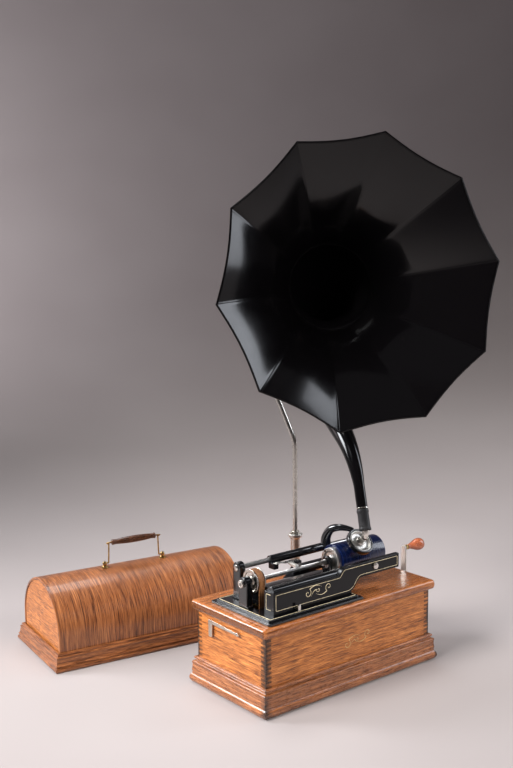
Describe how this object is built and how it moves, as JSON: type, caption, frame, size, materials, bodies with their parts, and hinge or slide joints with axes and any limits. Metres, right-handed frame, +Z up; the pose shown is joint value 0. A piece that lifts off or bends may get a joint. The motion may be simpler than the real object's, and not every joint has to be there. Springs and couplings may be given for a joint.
{
  "type": "wind-up phonograph",
  "caption": "Wind-up cylinder phonograph: oak case, japanned mechanism, faceted swan-neck horn on a nickel crane, crank, and a domed bentwood lid standing beside it.",
  "frame": {"origin": "centre of the case's underside, on the floor", "axes": "+Z up; -Y towards the front of the case; +X towards the crank end; the lid stands behind and to the left"},
  "size_m": [0.7094, 0.6512, 0.9805],
  "materials": {
    "oak": "varnished golden oak, satin to gloss, darkened end grain",
    "lid_oak": "varnished reddish-brown oak, satin",
    "black_japan": "glossy black japanned enamel with gold pinstripes",
    "nickel": "nickel plate, slightly dulled",
    "steel": "plain machined steel",
    "brass": "plain brass",
    "rubber": "dull black",
    "belt_leather": "brown belt leather",
    "blue_celluloid": "glossy deep blue, finely grooved",
    "turned_hardwood": "turned and varnished, reddish brown"
  },
  "bodies": {
    "case": {"case_front_board": "oak", "case_back_board": "oak", "case_left_board": "oak", "case_right_board": "oak", "base_moulding_front": "oak", "base_moulding_back": "oak", "base_moulding_left": "oak", "base_moulding_right": "oak", "bottom_board": "oak", "deck_board": "oak", "winding_bush": "nickel", "crane_socket": "nickel", "bedplate": "black_japan", "shaft_post_left": "black_japan", "rod_post_left": "black_japan", "centre_bearing": "black_japan", "back_rod": "steel", "rail_screw": "nickel", "drive_belt": "belt_leather", "motor_plate_left": "brass", "motor_plate_right": "brass"},
    "mandrel_unit": {"mandrel": "nickel", "feed_screw": "steel", "mandrel_pulley": "nickel"},
    "record": {"cylinder_record": "blue_celluloid"},
    "drive_unit": {"drive_arbor": "steel", "drive_pulley": "steel"},
    "intermediate": {"intermediate_gear": "steel"},
    "barrel": {"spring_barrel": "brass", "mainspring": "steel"},
    "governor": {"governor_spindle": "steel", "governor_weights": "brass"},
    "winding_gear_unit": {"winding_gear": "steel"},
    "crank": {"winding_shaft": "steel", "crank_arm": "nickel", "knob_pin": "nickel"},
    "knob": {"crank_knob": "turned_hardwood"},
    "carriage": {"carriage_arm": "black_japan", "half_nut_spring": "nickel", "half_nut": "brass", "reproducer": "nickel"},
    "weight": {"stylus_weight": "nickel"},
    "horn": {"horn_bell": "black_japan", "horn_neck": "black_japan", "horn_connector": "rubber", "horn_hanger": "black_japan", "suspension_spring": "steel"},
    "crane": {"crane_rod": "nickel", "crane_collar": "nickel"},
    "brake": {"brake_lever": "nickel"},
    "catch": {"lid_catch": "nickel"},
    "lid": {"lid_shell": "lid_oak", "lid_end_left": "lid_oak", "lid_end_right": "lid_oak", "lid_moulding": "lid_oak", "handle_foot_left": "brass", "handle_foot_right": "brass"},
    "lid_handle": {"lid_bail": "brass", "lid_grip": "turned_hardwood"}
  },
  "joints": [
    {"name": "mandrel_spin", "type": "hinge", "parent": "case", "child": "mandrel_unit", "pos_m": [0, -0.01, 0.205], "axis": [1, 0, 0], "continuous": true},
    {"name": "record_slide", "type": "slide", "parent": "mandrel_unit", "child": "record", "axis": [1, 0, 0], "range_m": [0, 0.065]},
    {"name": "drive_spin", "type": "hinge", "parent": "case", "child": "drive_unit", "pos_m": [0, -0.01, 0.1142], "axis": [1, 0, 0], "continuous": true},
    {"name": "intermediate_spin", "type": "hinge", "parent": "case", "child": "intermediate", "pos_m": [0, -0.0291, 0.088], "axis": [1, 0, 0], "continuous": true},
    {"name": "barrel_spin", "type": "hinge", "parent": "case", "child": "barrel", "pos_m": [0, 0.018, 0.077], "axis": [1, 0, 0], "continuous": true},
    {"name": "governor_spin", "type": "hinge", "parent": "case", "child": "governor", "pos_m": [0, -0.0363, 0.1165], "axis": [1, 0, 0], "continuous": true},
    {"name": "crank_turn", "type": "hinge", "parent": "case", "child": "crank", "pos_m": [0.2195, -0.01, 0.106], "axis": [1, 0, 0], "continuous": true},
    {"name": "winding_gear_spin", "type": "hinge", "parent": "case", "child": "winding_gear_unit", "pos_m": [0, 0.018, 0.077], "axis": [1, 0, 0], "continuous": true},
    {"name": "knob_spin", "type": "hinge", "parent": "crank", "child": "knob", "pos_m": [0.2313, -0.01, 0.192], "axis": [1, 0, 0], "continuous": true},
    {"name": "carriage_slide", "type": "slide", "parent": "case", "child": "carriage", "axis": [1, 0, 0], "range_m": [-0.034, 0.058]},
    {"name": "weight_hinge", "type": "hinge", "parent": "carriage", "child": "weight", "pos_m": [0.07, -0.02718, 0.24529], "axis": [1, 0, 0], "range_deg": [0, 2]},
    {"name": "horn_swivel", "type": "hinge", "parent": "carriage", "child": "horn", "pos_m": [0.071, -0.056, 0.262], "axis": [0, 0, 1], "range_deg": [-2, 2]},
    {"name": "crane_swivel", "type": "hinge", "parent": "case", "child": "crane", "pos_m": [0.0515, 0.1165, 0.219], "axis": [0, 0, 1], "range_deg": [-1.5, 1.5]},
    {"name": "brake_turn", "type": "hinge", "parent": "case", "child": "brake", "pos_m": [-0.116, -0.0665, 0.1652], "axis": [0, 0, 1], "range_deg": [0, 18]},
    {"name": "catch_turn", "type": "hinge", "parent": "case", "child": "catch", "pos_m": [-0.2022, -0.024, 0.124], "axis": [1, 0, 0], "range_deg": [-25, 4]},
    {"name": "lid_lift", "type": "slide", "parent": "case", "child": "lid", "axis": [0, 0, 1], "range_m": [0, 0.3]},
    {"name": "handle_turn", "type": "hinge", "parent": "lid", "child": "lid_handle", "pos_m": [-0.158, 0.369, 0.1585], "axis": [0.9908, -0.135, 0], "range_deg": [-80, 80]}
  ],
  "couplings": [
    {"joint": "drive_spin", "follows": "mandrel_spin", "ratio": 1},
    {"joint": "intermediate_spin", "follows": "mandrel_spin", "ratio": -0.33333},
    {"joint": "barrel_spin", "follows": "mandrel_spin", "ratio": 0.066667},
    {"joint": "governor_spin", "follows": "mandrel_spin", "ratio": -3.3333},
    {"joint": "winding_gear_spin", "follows": "crank_turn", "ratio": -0.33333}
  ]
}
